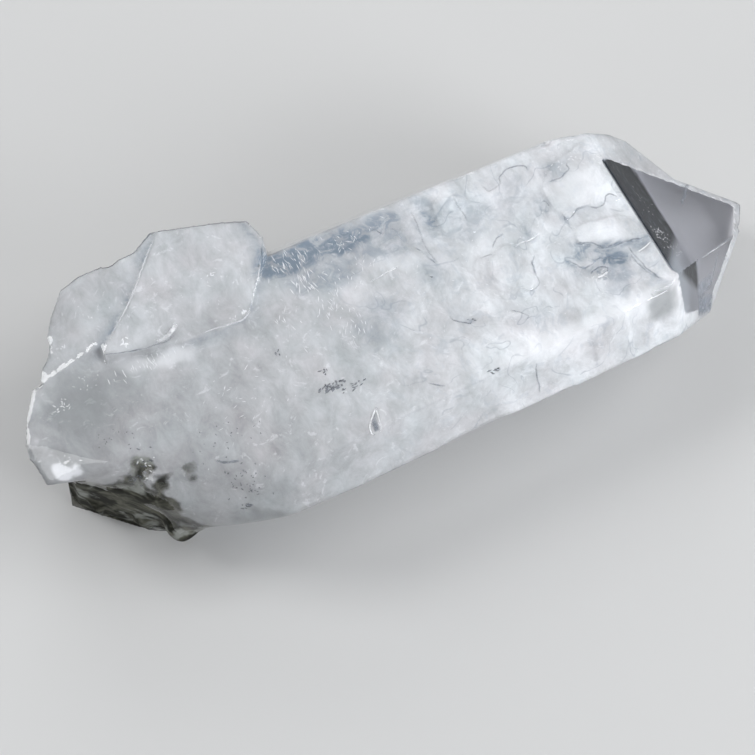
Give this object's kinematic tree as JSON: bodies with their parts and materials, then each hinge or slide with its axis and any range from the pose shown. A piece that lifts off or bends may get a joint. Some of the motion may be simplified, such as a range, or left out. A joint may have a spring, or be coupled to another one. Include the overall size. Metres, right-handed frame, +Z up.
{
  "type": "quartz cluster",
  "caption": "Milky to clear quartz: a large pointed prism lying on one face, with a smaller blunt crystal and a broken, stained root grown to it; a display specimen.",
  "frame": {"origin": "middle of the bounding box, on the surface it rests on", "axes": "+X along the large crystal's c axis towards its point, +Z up out of its wide upper prism face, +Y towards the smaller crystal at the back"},
  "size_m": [0.127, 0.0514, 0.0323],
  "materials": {
    "quartz": "milky white to clear quartz with smooth prism faces, faint growth lines, and an olive-brown stain in the broken root"
  },
  "bodies": {
    "root": {"quartz_cluster": "quartz"}
  },
  "joints": []
}
